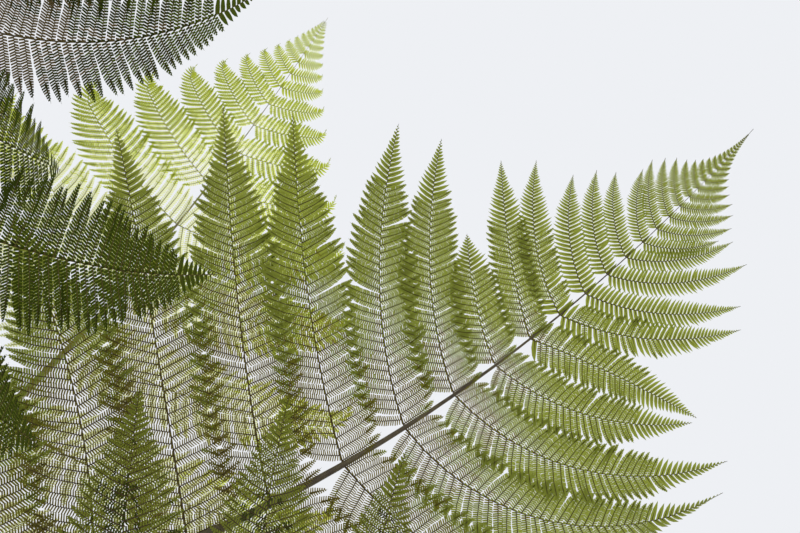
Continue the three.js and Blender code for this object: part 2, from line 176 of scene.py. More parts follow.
# Leaflets that lean, curl or stop short of the rule, by their frond, hand and place from the tip
OWN_WAYS = {
    "frond_mid_1": {
        (-1, 0): {"lean": -4, "size": 0.9},
        (-1, 1): {"lean": 3, "size": 0.9},
        (-1, 2): {"lean": 2, "size": 0.93},
        (-1, 3): {"lean": 2, "size": 0.9},
        (-1, 4): {"lean": 5},
        (-1, 5): {"lean": -6, "curl": -24, "size": 0.97},
        (-1, 6): {"curl": -18, "size": 0.61},
        (-1, 7): {"lean": -2, "size": 1.02},
        (-1, 8): {"lean": -2, "curl": 5, "size": 1.05},
        (-1, 9): {"lean": -4, "curl": -15, "size": 1.05},
        (-1, 10): {"lean": -6, "curl": -15, "size": 1.06},
        (-1, 11): {"lean": -7, "curl": -25, "size": 1.02},
        (-1, 12): {"lean": -14, "curl": -50, "size": 0.95},
        (1, 0): {"lean": -2, "size": 0.87},
        (1, 1): {"lean": -11, "size": 1.05},
        (1, 2): {"lean": -8, "size": 1.15},
        (1, 3): {"lean": -3, "curl": -5, "size": 1.08},
        (1, 4): {"lean": -5, "curl": -5, "size": 1.07},
        (1, 5): {"lean": -13, "curl": -58, "size": 0.9},
        (1, 6): {"lean": 4, "size": 0.88},
        (1, 7): {"lean": 7, "curl": 18, "size": 1.05},
        (1, 8): {"lean": 8, "curl": 32, "size": 1.08},
    },
    "frond_low_1": {
        (1, 8): {"lean": 2, "curl": 6},
        (1, 9): {"lean": 2, "curl": -26, "size": 0.63},
        (1, 10): {"lean": -4, "curl": -12},
        (1, 11): {"lean": -8, "curl": -19},
    },
    "frond_mid_2": {
        (-1, 8): {"size": 0.8},
        (-1, 9): {"lean": 7, "curl": 14, "size": 1.03},
        (-1, 10): {"lean": 2, "curl": 5, "size": 1.03},
        (-1, 11): {"lean": -2, "curl": -4, "size": 0.92},
    },
}
RULED = {"lean": 0, "curl": 0, "size": 1}

# How widely the fronds with short rows differ, each use of the fixed wave giving a number of its own
RISE_USE, BEND_USE, ROLL_USE, LENGTH_USE, PHASE_USE = range(1, 6)
RISE_SPREAD = 12
BEND_SPREAD = 10
ROLL_SPREAD = 12
LENGTH_SPREAD = 0.160
NUMBER_STEP = 12.9898
USE_STEP = 78.233
WAVE_SIZE = 43758.5453

# Side leaflets: the blades along each leaflet, which stand closer together towards its tip
SIDE_WIDEST = 0.116
SIDE_PITCH_NARROWS = 0.66
SIDE_PITCH_BEND = 2.1
SIDE_FIRST = {1: 0.35, -1: 0.80}
SIDE_LAST = 0.5
SIDE_ANGLE = 80
SIDE_ANGLE_TAKEN = 12
SIDE_FORWARD_CURVE = 18
SIDE_STEPS = 6
SIDE_TIP_STEP = 4
SIDE_DROP = 13
SIDE_DROP_SPREAD = 5
SIDE_LENGTH_SPREAD = 0.07
SIDE_TURN_SPREAD = 1.8
SIDE_FOOT_LONGER = 0.10
SIDE_FOOT_UNTIL = 0.15
FINE_STEPS = 200

# The outline that the side leaflets' ends follow, as shares of a leaflet's length and width
OUTLINE_WIDE_FROM = 0.16
OUTLINE_NARROWS_FROM = 0.40
OUTLINE_FOOT = 0.80
OUTLINE_POWER = 1.6
OUTLINE_DRAWN = 0.45
OUTLINE_DRAWN_POWER = 4
OUTLINE_TIP = 0.02

# Plain side leaflets: each section is a step and a share of the full width
PLAIN_SECTIONS = ((0, 0.92), (2, 1.0), (SIDE_TIP_STEP, 0.74))
PLAIN_WIDEST_SHARE = 0.3
PLAIN_VEIN_SHARE = 0.03

# Toothed side leaflets: teeth along both edges of a thin vein
TOOTHED_SHARE = 0.97
FEWEST_TEETH = 4
FIRST_TOOTH = 0.4
TOOTH_STAGGER = 0.2
TOOTH_LONGEST = 0.0150
TOOTH_ANGLE = 74
TOOTH_ANGLE_AT_FOOT = 86
TOOTH_SIZE_AT_FOOT = 0.85
TOOTH_FULL_FROM = 0.16
TOOTH_SHRINKS_FROM = 0.56
TOOTH_SHRINKS = 0.93
TOOTH_SHRINKS_POWER = 1.35
TOOTH_TURN_SPREAD = 2
TOOTH_LENGTH_SPREAD = 0.05
TOOTH_DROP = 14
POINTED_LONGER = 1.12
END_BLADE_WIDEST = 0.0026
END_BLADE_SHARE = 0.035

# Veins under the side leaflets, and the leaflets' own three-sided ribs
VEIN_WIDEST = 0.0010
VEIN_BELOW = 0.0007
VEIN_SHARE = 0.015
VEIN_SECTIONS = ((0, 1.0), (3, 0.75), (5, 0.4))
COARSE_VEIN_SECTIONS = ((0, 1.0), (5, 0.45))
LEAFLET_RIB_LEAST = 0.0005
LEAFLET_RIB_GROWS = 0.0021
LEAFLET_RIB_TAPER = 0.8
LEAFLET_RIB_EDGES = (90, 210, 330)

# How each kind of frond is cut
# reach: how far the side leaflets go of the leaflets' spacing, near the frond's tip and far from it
# pitch: the side leaflets' spacing, as its least value, its growth per metre from the tip and its most
# tooth_pitch: the teeth's spacing
# root_fill, end_fill: how much of the spacing a tooth fills at its root and at its end, near the midrib and
# far from it; a tooth with no end_fill is pointed
# tooth_reach: how far a tooth goes of its room, near the midrib and far from it
# plain_below, plain_fill: the length below which a side leaflet has no teeth, and how wide it then is of its
# room, near the frond's tip and far from it
# tip_length: how much of their length by the rule the leaflets have at the frond's drawn-out tip
# start, along, outwards, tip, inner: where the shades start, and how they go on along the leaflet, along the
# side leaflet, towards the frond's tip and where the leaflets are longest
CUTS = {
    "nearest": {
        "reach": (0.46, 0.60), "pitch": (0.0, 0.0208, 0.0230), "tooth_pitch": 0.0045,
        "root_fill": (0.62, 0.99), "end_fill": (0.48, 0.91), "tooth_reach": (1.02, 1.0),
        "plain_below": 0.050, "plain_fill": (0.96, 0.82), "tip_length": 0.2,
        "start": -0.15, "along": 1.7, "outwards": 0.70, "tip": 1.3, "inner": -1.30,
        "rib": "rib_dark", "shades": ("grey_leaf", "olive_leaf", "green_leaf", "fresh_leaf"),
    },
    # This frond hangs in shadow, so its shades are painted shade: brown towards the leaflets' roots, very
    # dark greens farther out
    "dark": {
        "reach": (0.58, 0.58), "pitch": (0.0, 0.0212, 0.0255), "tooth_pitch": 0.0047,
        "root_fill": (0.76, 0.88), "end_fill": (0.64, 0.76), "tooth_reach": (1.0, 1.0),
        "plain_below": 0.032, "plain_fill": (1.0, 0.76), "tip_length": 0.2,
        "start": -0.50, "along": 1.12, "outwards": 0.32, "tip": 0.55, "inner": 1.60,
        "rib": "rib_olive", "shades": ("painted_shade_brown_leaf", "painted_shade_leaf", "deep_green_and_painted_shade_leaf", "deep_green_and_painted_shade_leaf"),
    },
    # This frond is shaded, unlike the lit fronds behind it: its near-black and deep greens are painted
    # shade, with a lighter green at the leaflets' tips
    "near": {
        "reach": (0.56, 0.56), "pitch": (0.0, 0.0212, 0.0240), "tooth_pitch": 0.0045,
        "root_fill": (0.58, 0.70), "end_fill": (0.48, 0.60), "tooth_reach": (1.0, 1.0),
        "plain_below": 0.036, "plain_fill": (1.0, 0.74), "tip_length": 0.2,
        "start": -0.05, "along": 1.2, "outwards": 0.4, "tip": 0.55, "inner": 0.0,
        "rib": "rib_dark", "shades": ("painted_shade_leaf", "painted_shade_leaf", "deep_green_and_painted_shade_leaf", "deep_green_and_painted_shade_leaf", "green_leaf"),
    },
    # The young frond's pale shades paint the sunlight that shines through it, on top of its young colour
    "young": {
        "reach": (0.46, 0.54), "pitch": (0.0034, 0.0225, 0.027), "tooth_pitch": 0.0060,
        "root_fill": (0.82, 0.98), "end_fill": (0.58, 0.86), "tooth_reach": (0.80, 0.84),
        "plain_below": 0.032, "plain_fill": (0.76, 0.76), "tip_length": 1.0,
        "start": -0.34, "along": 1.12, "outwards": 0.32, "tip": 1.25, "inner": -0.20,
        "rib": "rib_young", "shades": ("painted_sunlight_pale_leaf", "painted_sunlight_pale_leaf", "painted_sunlight_lime_leaf", "young_and_painted_sunlight_leaf"),
    },
    # The other fronds: near-black green as painted shade towards the midrib, then deep, light and fresh
    # greens towards the tips
    "usual": {
        "reach": (0.54, 0.54), "pitch": (0.0, 0.0212, 0.0234), "tooth_pitch": 0.0090,
        "root_fill": (2.2, 2.2), "end_fill": None, "tooth_reach": (1.1, 1.08),
        "plain_below": 0.040, "plain_fill": (1.0, 0.86), "tip_length": 0.2,
        "start": 0.0, "along": 1.12, "outwards": 0.32, "tip": 0.55, "inner": 0.0,
        "rib": "rib_dark", "shades": ("painted_shade_leaf", "deep_green_and_painted_shade_leaf", "green_leaf", "green_leaf", "fresh_leaf"),
    },
}

# Distances from the frond's tip between which its cut and its shades change
REACH_FROM = 0.3
REACH_TO = 0.8
CLOSED_UNTIL = 0.12
OPEN_FROM = 0.34
LONGEST_FROM = 1.05
LONGEST_SPAN = 0.4
DRAWN_UNTIL = 0.235

# How much the shades of single teeth and of whole side leaflets vary
SHADE_SPREAD = 0.10
OWN_SHADE_SPREAD = 0.08
FIRST_SEED = 1000

# Leaf shades: the colour seen, and how much of the light comes through from above
LEAF_SHADES = {
    # Painted shade: the brown and the near-black green are leaf colours darkened to stand for shadow. The
    # deep green is painted shade on the dark and near fronds, and a plain deep green on the others
    "painted_shade_brown_leaf": ((0.085, 0.060, 0.022), 0.30),
    "painted_shade_leaf": ((0.022, 0.028, 0.003), 0.40),
    "deep_green_and_painted_shade_leaf": ((0.044, 0.064, 0.003), 0.45),
    "grey_leaf": ((0.165, 0.134, 0.030), 0.40),
    "olive_leaf": ((0.168, 0.156, 0.016), 0.40),
    "green_leaf": ((0.192, 0.220, 0.027), 0.38),
    "fresh_leaf": ((0.234, 0.268, 0.038), 0.40),
    # Painted light: the young frond's pale yellow-greens are its young colour, made brighter to paint the
    # sunlight shining through it
    "painted_sunlight_pale_leaf": ((0.720, 0.740, 0.360), 0.60),
    "painted_sunlight_lime_leaf": ((0.560, 0.620, 0.100), 0.60),
    "young_and_painted_sunlight_leaf": ((0.400, 0.460, 0.040), 0.60),
    "rib_dark": ((0.050, 0.032, 0.016), 0.0),
    "rib_olive": ((0.100, 0.074, 0.022), 0.0),
    "rib_young": ((0.180, 0.190, 0.050), 0.0),
}

# Stalks and bark: their colours, each from its dark to its light, and how their noises are mixed
STALK_SKIN = ((0.040, 0.024, 0.014), (0.125, 0.100, 0.038))
YOUNG_STALK_SKIN = ((0.130, 0.110, 0.040), (0.260, 0.250, 0.090))
BARK_BROWN = ((0.022, 0.014, 0.009), (0.120, 0.078, 0.046))
BARK_GREY = ((0.085, 0.075, 0.058), (0.190, 0.175, 0.140))
STREAKS_IN_WEAR = 0.5
PATCHES_IN_WEAR = 0.5
GREY_AT_MOST = 0.55
FIBRE_STRETCH = (1.0, 1.0, 0.12)
FIBRES_IN_RELIEF = 0.7
GRAINS_IN_RELIEF = 0.3
LEAF_ROUGHNESS = 0.6
LEAF_SHINE = 0.1
STALK_ROUGHNESS = 0.6
BARK_ROUGHNESS = 0.92

# Sockets that are picked by their number
OBJECT_PLACE = 3
MIX_SHARE = 0
FIRST_SHADER = 1
SECOND_SHADER = 2
MIX_FIRST_COLOUR = 6
MIX_SECOND_COLOUR = 7
MIXED_COLOUR = 2


def chance(number, use):
    """A fixed random number from 0 to 1 for a frond's number and a use of its own."""
    wave = math.sin(number * NUMBER_STEP + use * USE_STEP) * WAVE_SIZE
    return wave - math.floor(wave)


def spread(number, use, width):
    return (chance(number, use) - MIDDLE) * width


def complete_frond(row, number):
    """Fills in what a row leaves out from its tier, with a little of its own."""
    tier = TIERS[row["tier"]]
    frond = {
        **USUAL,
        "rise": tier["rise"] + spread(number, RISE_USE, RISE_SPREAD),
        "bend": tier["bend"] + spread(number, BEND_USE, BEND_SPREAD),
        "roll": spread(number, ROLL_USE, ROLL_SPREAD),
        "length": tier["length"] + spread(number, LENGTH_USE, LENGTH_SPREAD),
        "phase": chance(number, PHASE_USE),
        "cut": "usual",
        **row,
        "height": tier["height"],
        "number": number,
    }
    frond["rib"] = rib_track(frond)
    return frond


def unit(vectors):
    return vectors / np.linalg.norm(vectors, axis=-1, keepdims=True)


def rib_track(frond):
    """The midrib's points and directions from the trunk to the tip: it rises, arches over and droops."""
    share = np.arange(RIB_STEPS + 1) / RIB_STEPS
    heading = np.radians(frond["azimuth"] + frond["sweep"] * share)
    slope = np.radians(frond["rise"] - frond["bend"] * share)
    roll = math.radians(frond["roll"])
    out = np.cos(slope)
    along = np.stack((out * np.cos(heading), out * np.sin(heading), np.sin(slope)), axis=1)
    level = np.stack((-np.sin(heading), np.cos(heading), np.zeros_like(heading)), axis=1)
    side = level * math.cos(roll) + np.cross(along, level) * math.sin(roll)
    start = math.radians(frond["azimuth"])
    foot = CROWN + (STIPE_START * math.cos(start), STIPE_START * math.sin(start), frond["height"])
    steps = np.vstack((np.zeros(3), np.cumsum(along[:-1], axis=0))) * frond["length"] / RIB_STEPS
    return foot + steps, along, side


def rib_at(frond, distance):
    """The midrib's places and directions at distances from the frond's tip."""
    place = np.minimum(1 - distance / frond["length"], 1) * RIB_STEPS
    index = np.minimum(np.floor(place).astype(int), RIB_STEPS - 1)
    share = (place - index)[:, None]
    mixed = [line[index] * (1 - share) + line[index + 1] * share for line in frond["rib"]]
    return mixed[0], unit(mixed[1]), unit(mixed[2])


def smooth(share):
    """From 0 to 1, with a level start and end."""
    return share * share * (3 - 2 * share)


def leaflet_length(frond, distance):
    """A leaflet grows longer away from the tip, and shorter again where the stalk is near."""
    x = np.minimum(distance / LEAFLET_FULL_AT, 1)
    grown = (smooth(x) + np.sin(math.pi * x / 2)) / 2
    run = frond["length"] - STIPE_BARE - LEAFLET_TAPER_FROM
    y = np.clip((distance - LEAFLET_TAPER_FROM) / run, 0, 1)
    return LEAFLET_LONGEST * grown * (1 - LEAFLET_TAPER * smooth(y))


def leaflet_line(frond, distance, power, hand, shorter):
    """A leaflet's middle line, with the directions along it, across it and square to its face."""
    point, forward, side = [row[0] for row in rib_at(frond, np.array([distance]))]
    own = {**RULED, **OWN_WAYS.get(frond["name"], {}).get((hand, power), {})}
    full = float(leaflet_length(frond, distance))
    length = full * own["size"] * shorter
    angle = frond["angle"] + frond["skew"] * hand + LEAFLET_ANGLE_PER_METRE * (distance - 1) + own["lean"]
    curl = frond["curl"] + own["curl"]
    twist = math.radians(frond["twist"])

    def direction_at(share):
        hooked = np.maximum(share - HOOK_FROM, 0) / (1 - HOOK_FROM)
        turn = np.radians(angle - curl * share - frond["hook"] * hooked)[:, None]
        fall = np.radians(frond["droop"] * full / LEAFLET_LONGEST * share)[:, None]
        level = forward * np.cos(turn) + side * hand * np.sin(turn)
        return unit(level * np.cos(fall) - np.array((0, 0, 1)) * np.sin(fall))

    steps = direction_at((np.arange(LEAFLET_STEPS) + MIDDLE) / LEAFLET_STEPS) * length / LEAFLET_STEPS
    points = point + np.vstack((np.zeros(3), np.cumsum(steps, axis=0)))
    along = direction_at(np.arange(LEAFLET_STEPS + 1) / LEAFLET_STEPS)
    level = unit(forward - along * (along @ forward)[:, None])
    above = np.cross(level, along) * hand
    across = level * math.cos(twist) - above * math.sin(twist)
    face = above * math.cos(twist) + level * math.sin(twist)
    return {"points": points, "along": along, "across": across, "face": face, "length": length,
            "distance": distance}


def node_corners(frond):
    """The corners of a frond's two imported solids."""
    meshes = [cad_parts[f"{frond['name']}_{half}"].data for half in ("inner", "outer")]
    return np.array([corner.co for mesh in meshes for corner in mesh.vertices])


def distance_at(frond, power):
    """The distance from the tip of a numbered pair: each gap is wider than the last, up to a widest one."""
    last = frond["widest"] / (frond["ratio"] - 1)
    last_power = math.log(last / FIRST_DISTANCE) / math.log(frond["ratio"])
    beyond = power + frond["phase"] - last_power
    if beyond > 0:
        return last + frond["widest"] * beyond
    return FIRST_DISTANCE * frond["ratio"] ** (power + frond["phase"])


def leaflets_of(frond):
    """Every leaflet of a frond, shortened or left out where its solid shortens it or leaves it out."""
    corners = node_corners(frond)
    found = []
    for power in range(FARTHEST_POWER, NEAREST_POWER - 1, -1):
        distance = distance_at(frond, power)
        if distance >= frond["length"] - STIPE_BARE or distance < LEAST_DISTANCE:
            continue
        skipped = frond["ratio"] == SPACING_RATIO and distance < SPARSE_BELOW and power % 2
        solid = distance > TIP_BARE and not skipped
        for hand in (1, -1):
            for shorter in SHORTER:
                line = leaflet_line(frond, distance, power, hand, shorter)
                off = np.linalg.norm(corners - line["points"][-1], axis=1).min()
                if not solid or off < TIP_MATCH:
                    found.append(drawn_in(line, CUTS[frond["cut"]]["tip_length"]))
                    break
    return found


def drawn_in(line, tip_length):
    """A leaflet as it is where the frond's tip is drawn out: shorter than the rule gives it."""
    part = np.interp(line["distance"], (0, DRAWN_UNTIL), (tip_length, 1))
    root = line["points"][0]
    return {**line, "points": root + (line["points"] - root) * part, "length": line["length"] * part}


def line_at(line, share):
    """A leaflet's places and directions at shares of its length."""
    place = np.minimum(share, 1) * LEAFLET_STEPS
    index = np.minimum(np.floor(place).astype(int), LEAFLET_STEPS - 1)
    part = (place - index)[:, None]
    mixed = [line[key][index] * (1 - part) + line[key][index + 1] * part
             for key in ("points", "along", "across", "face")]
    return mixed[0], unit(mixed[1]), unit(mixed[2]), unit(mixed[3])


def side_width(share):
    """A leaflet's share of its full width along its length: a lance with a drawn-out tip."""
    near = np.clip(share / OUTLINE_WIDE_FROM, 0, 1)
    far = np.clip((share - OUTLINE_NARROWS_FROM) / (1 - OUTLINE_NARROWS_FROM), 0, 1)
    foot = OUTLINE_FOOT + (1 - OUTLINE_FOOT) * near * (2 - near)
    return foot * (1 - far ** OUTLINE_POWER) * (1 - OUTLINE_DRAWN * far ** OUTLINE_DRAWN_POWER) + OUTLINE_TIP


class Foliage:
    """Flat blades gathered as arrays of corners, with a shade for each face."""

    def __init__(self):
        self.corners = []
        self.faces = []
        self.shades = []
        self.count = 0

    def add(self, corners, faces, shades):
        """Corners are (n, 3), and faces are rows of 3 or 4 corner numbers."""
        self.corners.append(corners)
        self.faces.append(faces + self.count)
        self.shades.append(np.broadcast_to(shades, len(faces)))
        self.count += len(corners)

    def strips(self, rows, shades):
        """Rows of blades, each a strip of pairs of corners: rows is (blades, pairs, 2, 3)."""
        blades, pairs = rows.shape[:2]
        first = (np.arange(blades)[:, None] * pairs + np.arange(pairs - 1)[None, :]).reshape(-1) * 2
        faces = np.stack((first, first + 1, first + 3, first + 2), axis=1)
        self.add(rows.reshape(-1, 3), faces, np.repeat(shades, pairs - 1))

    def points(self, triangles, shades):
        """Triangles is (blades, 3, 3)."""
        faces = np.arange(len(triangles) * 3).reshape(-1, 3)
        self.add(triangles.reshape(-1, 3), faces, shades)

    def mesh(self, name):
        corners = np.concatenate(self.corners)
        loops = np.concatenate([faces.reshape(-1) for faces in self.faces])
        sizes = np.concatenate([np.full(len(faces), faces.shape[1]) for faces in self.faces])
        shades = np.concatenate(self.shades)
        mesh = bpy.data.meshes.new(name)
        mesh.vertices.add(len(corners))
        mesh.vertices.foreach_set("co", corners.astype(np.float32).reshape(-1))
        mesh.loops.add(len(loops))
        mesh.loops.foreach_set("vertex_index", loops.astype(np.int32))
        mesh.polygons.add(len(sizes))
        starts = np.concatenate(([0], np.cumsum(sizes)[:-1]))
        mesh.polygons.foreach_set("loop_start", starts.astype(np.int32))
        mesh.polygons.foreach_set("material_index", shades.astype(np.int32))
        mesh.update(calc_edges=True)
        return mesh


def pitch_share(share):
    """How much of their full spacing the side leaflets have at shares of their leaflet's length."""
    return 1 - SIDE_PITCH_NARROWS * share ** SIDE_PITCH_BEND


def stations(length, pitch, start):
    """Places of side leaflets along a leaflet, as shares of its length."""
    share = np.linspace(0, 1, FINE_STEPS)
    rate = length / (pitch * pitch_share(share))
    passed = np.concatenate(([0], np.cumsum((rate[1:] + rate[:-1]) / 2) / (FINE_STEPS - 1)))
    return np.interp(np.arange(start, passed[-1] - SIDE_LAST, 1.0), passed, share)


def side_leaflets(frond, cut, lines, dice):
    """The side leaflets of a frond as arrays of their feet, directions, lengths and places."""
    found = []
    for line in lines:
        distance = line["distance"]
        reach = np.interp(distance, (REACH_FROM, REACH_TO), cut["reach"])
        half = min(reach * (frond["ratio"] - 1) * distance, SIDE_WIDEST)
        least, grows, widest = cut["pitch"]
        pitch = min(least + grows * distance, widest)
        for hand, start in SIDE_FIRST.items():
            share = stations(line["length"], pitch, start)
            if not len(share):
                continue
            foot, along, across, face = line_at(line, share)
            turn = SIDE_ANGLE - SIDE_ANGLE_TAKEN * share + dice.normal(0, SIDE_TURN_SPREAD, len(share))
            length = half * side_width(share) / np.sin(np.radians(turn - SIDE_FORWARD_CURVE / 2))
            if hand > 0:
                length *= 1 + SIDE_FOOT_LONGER * np.clip(1 - share / SIDE_FOOT_UNTIL, 0, 1)
            length *= 1 + dice.uniform(-SIDE_LENGTH_SPREAD, SIDE_LENGTH_SPREAD, len(share))
            found.append({
                "foot": foot, "along": along, "across": across * hand, "face": face, "length": length,
                "pitch": pitch * pitch_share(share), "share": share, "turn": turn,
                "distance": np.full(len(share), distance),
            })
    return {key: np.concatenate([values[key] for values in found]) for key in found[0]}


def side_tracks(sides, dice):
    """Each side leaflet's points and directions along, across and square to it: (count, steps + 1, 3)."""
    count = len(sides["length"])
    drop = SIDE_DROP + dice.normal(0, SIDE_DROP_SPREAD, count)

    def direction_at(share):
        turn = np.radians(sides["turn"][:, None] - SIDE_FORWARD_CURVE * share)[..., None]
        fall = np.radians(drop[:, None] * share)[..., None]
        level = sides["along"][:, None] * np.cos(turn) + sides["across"][:, None] * np.sin(turn)
        return unit(level * np.cos(fall) - sides["face"][:, None] * np.sin(fall))

    middles = (np.arange(SIDE_STEPS) + MIDDLE) / SIDE_STEPS
    steps = direction_at(middles) * (sides["length"] / SIDE_STEPS)[:, None, None]
    zero = np.zeros((count, 1, 3))
    points = sides["foot"][:, None] + np.concatenate((zero, np.cumsum(steps, axis=1)), axis=1)
    along = direction_at(np.arange(SIDE_STEPS + 1) / SIDE_STEPS)
    across = unit(np.cross(sides["face"][:, None], along))
    face = np.cross(along, across)
    return points, along, across, face


def chosen(sides, tracks, keep):
    """The side leaflets for which keep is true, with their tracks."""
    return {key: value[keep] for key, value in sides.items()}, [track[keep] for track in tracks]


def between(ends, share):
    return ends[0] + (ends[1] - ends[0]) * share


def fullness(sides, share, cut):
    """From 0 near the midrib to 1 far from it, for places along side leaflets."""
    tone = cut["start"] + cut["along"] * sides["share"] + cut["outwards"] * share
    tone = tone + cut["tip"] * np.maximum(LONGEST_FROM - sides["distance"], 0)
    return tone + cut["inner"] * np.clip(sides["distance"] - LONGEST_FROM, 0, LONGEST_SPAN)


def deal_shades(tone, cut, dice, own):
    """A shade for each place: duller near the midrib and fresher towards the tips, so painted shade, where a
    cut has it, falls near the midrib.
    """
    count = len(cut["shades"])
    mixed = tone + own + dice.normal(0, SHADE_SPREAD, len(tone))
    picked = np.clip((mixed * count).astype(int), 0, count - 1)
    distinct = [*dict.fromkeys(cut["shades"])]
    return np.array([distinct.index(name) for name in cut["shades"]])[picked]


def edge_rows(points, across, half, sections):
    """Corners on both edges of blades: a section is a step and its share of the half width."""
    rows = []
    for step, width in sections:
        out = across[:, step] * half * width
        rows.append(np.stack((points[:, step] - out, points[:, step] + out), axis=1))
    return np.stack(rows, axis=1)


def grow_plain(foliage, sides, tracks, cut, dice, rib_shade):
    """Short side leaflets: each is one uncut blade with a pointed tip."""
    points, _, across, face = tracks
    fill = np.interp(sides["distance"], (CLOSED_UNTIL, OPEN_FROM), cut["plain_fill"])
    half = np.minimum(sides["pitch"] * fill / 2, sides["length"] * PLAIN_WIDEST_SHARE)[:, None]
    rows = edge_rows(points, across, half, PLAIN_SECTIONS)
    own = dice.normal(0, OWN_SHADE_SPREAD, len(points))
    shades = deal_shades(fullness(sides, MIDDLE, cut), cut, dice, own)
    foliage.strips(rows, shades)
    foliage.points(np.stack((rows[:, -1, 0], rows[:, -1, 1], points[:, SIDE_STEPS]), axis=1), shades)
    low = points - face * VEIN_BELOW
    thin = across[:, 0] * np.minimum(VEIN_WIDEST, sides["length"] * PLAIN_VEIN_SHARE)[:, None]
    veins = np.stack((low[:, 0] - thin, low[:, 0] + thin, low[:, SIDE_TIP_STEP]), axis=1)
    foliage.points(veins, np.full(len(points), rib_shade))


def tooth_places(sides, tracks, spacing):
    """Each tooth's side leaflet, its share of that one's length, its root, and the directions there."""
    teeth = np.maximum((sides["length"] * TOOTHED_SHARE / spacing).astype(int), FEWEST_TEETH)
    owner = np.repeat(np.arange(len(teeth)), teeth)
    number = np.arange(len(owner)) - np.repeat(np.cumsum(teeth) - teeth, teeth)
    share = (number + FIRST_TOOTH) * spacing / sides["length"][owner]
    place = share * SIDE_STEPS
    index = np.minimum(place.astype(int), SIDE_STEPS - 1)
    part = (place - index)[:, None]
    root, along, across, face = [
        track[owner, index] * (1 - part) + track[owner, index + 1] * part for track in tracks
    ]
    return owner, share, root, unit(along), unit(across), unit(face)


def tooth_sizes(pitch, near, share, full, cut):
    """How long the teeth are: a little shorter at the foot, and ever shorter towards the tip."""
    far = np.clip((share - TOOTH_SHRINKS_FROM) / (1 - TOOTH_SHRINKS_FROM), 0, 1)
    room = pitch / 2 / math.sin(math.radians(TOOTH_ANGLE)) * between(cut["tooth_reach"], full)
    grown = between((TOOTH_SIZE_AT_FOOT, 1), near) * (1 - TOOTH_SHRINKS * far ** TOOTH_SHRINKS_POWER)
    return np.minimum(TOOTH_LONGEST, room) * grown


def grow_toothed(foliage, sides, tracks, cut, dice, rib_shade):
    """Long side leaflets: a thin vein with teeth along both of its edges, and an uncut tip."""
    points, _, across, face = tracks
    spacing = cut["tooth_pitch"]
    owner, share, root, forward, outward, up = tooth_places(sides, tracks, spacing)
    tone = fullness({key: value[owner] for key, value in sides.items()}, share, cut)
    full = np.clip(tone, 0, 1)
    near = np.clip(share / TOOTH_FULL_FROM, 0, 1)
    turn = np.radians(between((TOOTH_ANGLE_AT_FOOT, TOOTH_ANGLE), near))
    size = tooth_sizes(sides["pitch"][owner], near, share, full, cut)
    shades = deal_shades(tone, cut, dice, dice.normal(0, OWN_SHADE_SPREAD, len(points))[owner])
    drop = math.radians(TOOTH_DROP)
    half = forward * (spacing * between(cut["root_fill"], full) / 2)[:, None]
    for hand in (1, -1):
        lean = (turn + np.radians(dice.normal(0, TOOTH_TURN_SPREAD, len(owner))))[:, None]
        level = forward * np.cos(lean) + outward * hand * np.sin(lean)
        tooth = level * math.cos(drop) - up * math.sin(drop)
        longer = 1 + dice.uniform(-TOOTH_LENGTH_SPREAD, TOOTH_LENGTH_SPREAD, len(owner))
        length = (size * longer)[:, None]
        foot = root + forward * spacing * TOOTH_STAGGER * hand
        if cut["end_fill"]:
            end = forward * (spacing * between(cut["end_fill"], full) / 2)[:, None]
            tip = foot + tooth * length
            rows = np.stack((foot - half, foot + half, tip - end, tip + end), axis=1)
            foliage.strips(rows.reshape(-1, 2, 2, 3), shades)
        else:
            tip = foot + tooth * length * POINTED_LONGER
            foliage.points(np.stack((foot - half, foot + half, tip), axis=1), shades)
    thin = np.minimum(VEIN_WIDEST, sides["length"] * VEIN_SHARE)[:, None]
    sections = VEIN_SECTIONS if cut["end_fill"] else COARSE_VEIN_SECTIONS
    rows = edge_rows(points - face * VEIN_BELOW, across, thin, sections)
    foliage.strips(rows, np.full(len(points), rib_shade))
    wide = np.minimum(END_BLADE_WIDEST, sides["length"] * END_BLADE_SHARE)[:, None]
    ends = edge_rows(points, across, wide, ((SIDE_TIP_STEP, 1.0),))[:, 0]
    last_teeth = np.flatnonzero(np.diff(owner, append=len(points)))
    foliage.points(np.concatenate((ends, points[:, SIDE_STEPS:]), axis=1), shades[last_teeth])


def grow_ribs(foliage, lines, shade):
    """The leaflets' own ribs: thin three-sided stems that taper towards the leaflet's tip."""
    share = np.arange(LEAFLET_STEPS + 1) / LEAFLET_STEPS
    for line in lines:
        thick = (LEAFLET_RIB_LEAST + LEAFLET_RIB_GROWS * line["length"]) * (1 - LEAFLET_RIB_TAPER * share)
        thick = np.maximum(thick, LEAFLET_RIB_LEAST)[:, None]
        edges = []
        for turn in np.radians(LEAFLET_RIB_EDGES):
            out = line["across"] * math.cos(turn) + line["face"] * math.sin(turn)
            edges.append(line["points"] + out * thick)
        for edge, next_edge in zip(edges, edges[1:] + edges[:1]):
            foliage.strips(np.stack((edge, next_edge), axis=1)[None], np.full(1, shade))


def opaque(colour):
    return (*colour, 1.0)


class Wire:
    """A shader socket's value, which sums can be written with."""

    def __init__(self, finish, socket):
        self.finish = finish
        self.socket = socket

    def math(self, operation, *values):
        inputs = dict(enumerate(values))
        return self.finish.node("ShaderNodeMath", {"operation": operation}, inputs)

    def __add__(self, other):
        return self.math("ADD", self, other)

    __radd__ = __add__

    def __sub__(self, other):
        return self.math("SUBTRACT", self, other)

    def __rsub__(self, other):
        return self.math("SUBTRACT", other, self)

    def __mul__(self, other):
        return self.math("MULTIPLY", self, other)

    __rmul__ = __mul__

    def lifted(self, low, steepness):
        """This value less a low one, made steeper and kept from 0 to 1."""
        steep = (self - low) * steepness
        return self.math("MINIMUM", self.math("MAXIMUM", steep, 0.0), 1.0)


